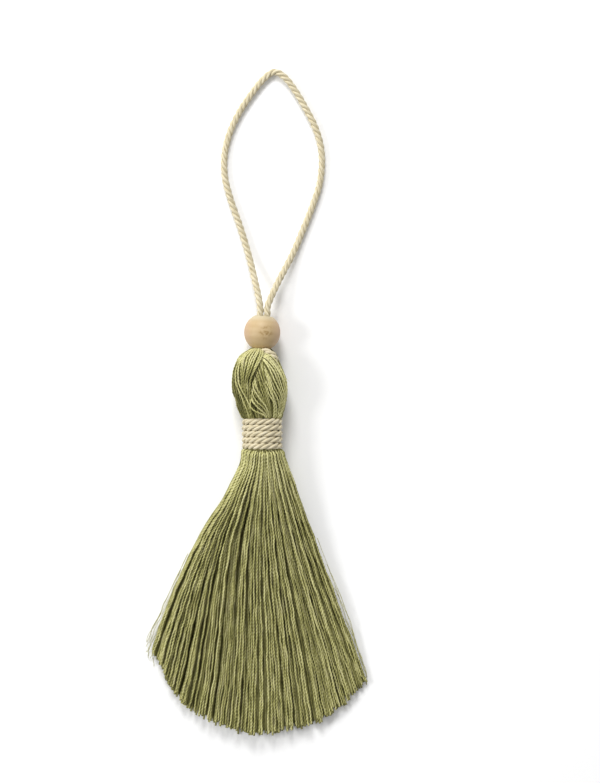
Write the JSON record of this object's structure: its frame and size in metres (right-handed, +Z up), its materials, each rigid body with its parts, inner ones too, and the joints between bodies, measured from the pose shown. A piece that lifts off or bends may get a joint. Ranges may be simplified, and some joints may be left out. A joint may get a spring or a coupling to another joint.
{
  "type": "yarn tassel with wooden bead and cord loop",
  "caption": "Yarn tassel lying flat: hanging loop of twisted cord, round wooden bead, folded yarn head, cord-bound neck and a fanned skirt of cut strands.",
  "frame": {"origin": "point of the skirt's flat underside on the tassel's axis, halfway between the neck binding and the longest cut ends", "axes": "+Z up, away from the surface the tassel lies on; +Y along the tassel towards its hanging loop; +X to the right as seen from above with the loop at the top"},
  "size_m": [0.0946, 0.2949, 0.0196],
  "materials": {
    "yarn": "slubby two-ply linen and cotton yarn, sage green, dull",
    "cord": "three-strand twisted cotton cord, ivory, slight silky sheen",
    "bead": "turned and sanded pale hardwood, unvarnished"
  },
  "bodies": {
    "root": {"yarn_hank": "yarn", "neck_binding": "cord", "bead": "bead", "hanging_loop": "cord"}
  },
  "joints": []
}
